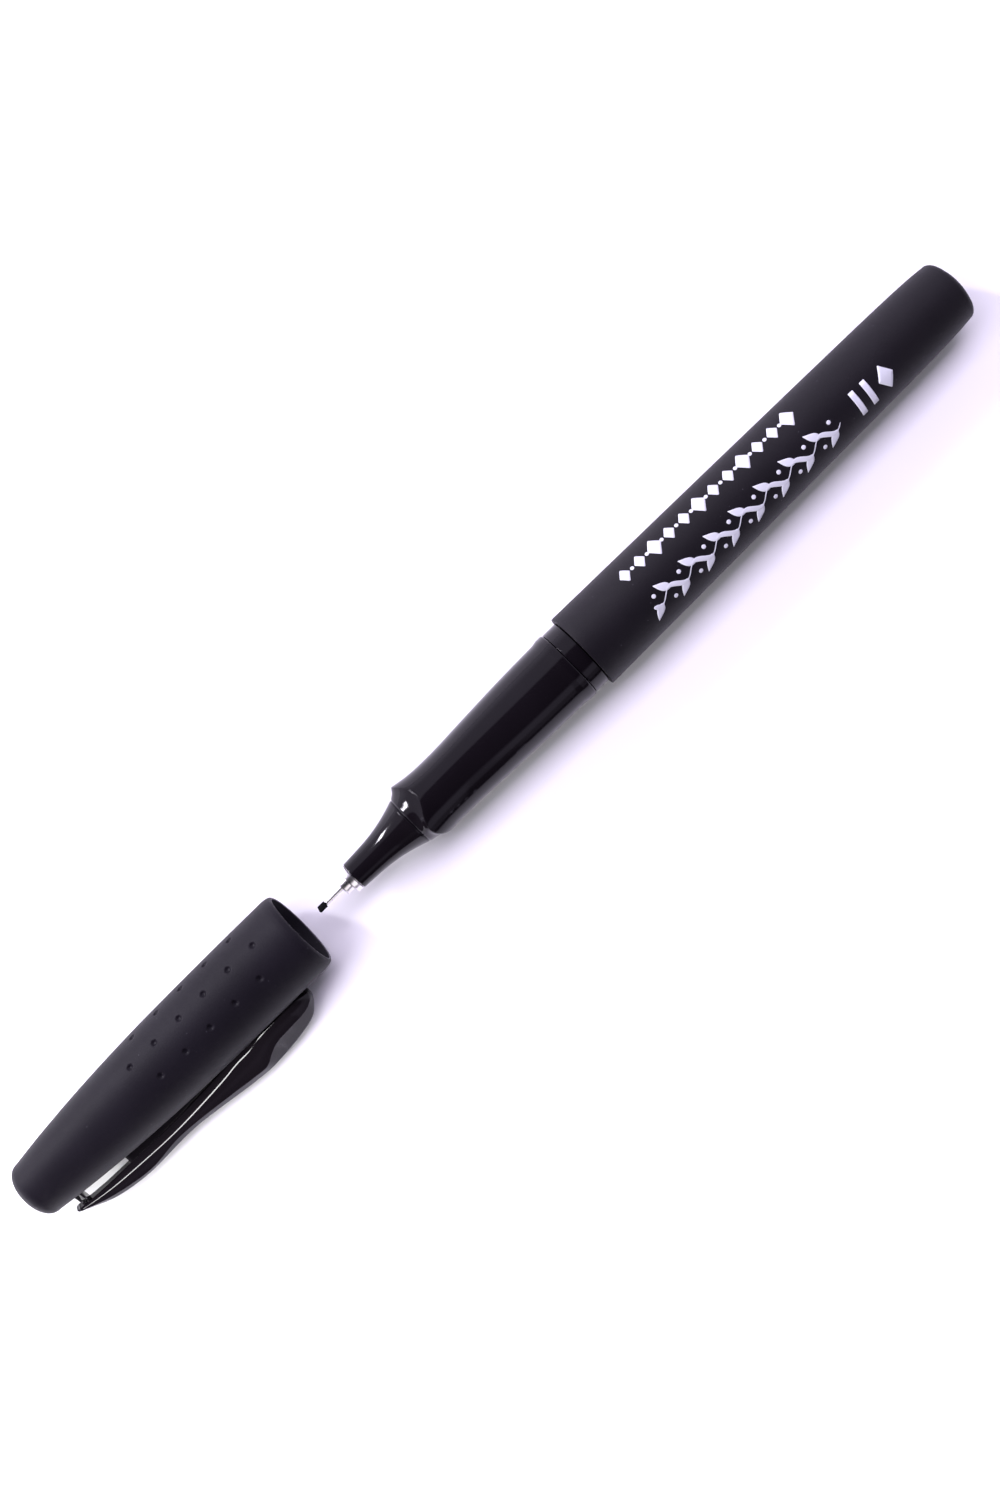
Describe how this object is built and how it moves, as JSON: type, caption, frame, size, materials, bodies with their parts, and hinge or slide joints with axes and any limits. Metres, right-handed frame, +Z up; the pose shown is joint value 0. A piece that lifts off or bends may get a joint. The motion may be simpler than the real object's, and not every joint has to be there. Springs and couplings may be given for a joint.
{
  "type": "calligraphy marker",
  "caption": "Slim chisel-nib calligraphy marker with a tapered barrel, three-sided grip, metal nib tube and a pull-off dimpled cap with a sprung pocket clip.",
  "frame": {"origin": "centre of the flat tail face, on the pen's axis", "axes": "+X along the pen from the tail to the nib and on to the cap, +Z up as the marker lies, +Y to the side the clip stands out on"},
  "size_m": [0.203, 0.0199, 0.0147],
  "materials": {
    "matte_black": "fine-textured black polypropylene",
    "gloss_black": "polished black plastic",
    "bright_steel": "bright drawn and turned steel",
    "nib_felt": "ink-soaked porous acrylic",
    "ink_fibre": "bonded polyester fibre full of black ink",
    "clear_film": "thin clear wrap",
    "liner_plastic": "soft smooth black plastic",
    "white_print": "dull white printing ink"
  },
  "bodies": {
    "pen": {"barrel": "matte_black", "tail_plug": "matte_black", "ink_reservoir": "ink_fibre", "reservoir_film": "clear_film", "feed_wick": "ink_fibre", "front_section": "gloss_black", "grip_sleeve": "gloss_black", "nib_ferrule": "bright_steel", "nib_tube": "bright_steel", "nib": "nib_felt"},
    "cap": {"cap_shell": "matte_black", "cap_liner": "liner_plastic", "clip_stem": "gloss_black"},
    "clip": {"clip_arm": "gloss_black"}
  },
  "joints": [
    {"name": "cap_slide", "type": "slide", "parent": "pen", "child": "cap", "axis": [-1, 0, 0], "range_m": [0, 0.0615]},
    {"name": "clip_flex", "type": "hinge", "parent": "cap", "child": "clip", "pos_m": [0.1977, 0.00655, -0.00334], "axis": [0, -0.454, -0.891], "range_deg": [0, 5], "stiffness_Nm_per_rad": 1.2}
  ]
}
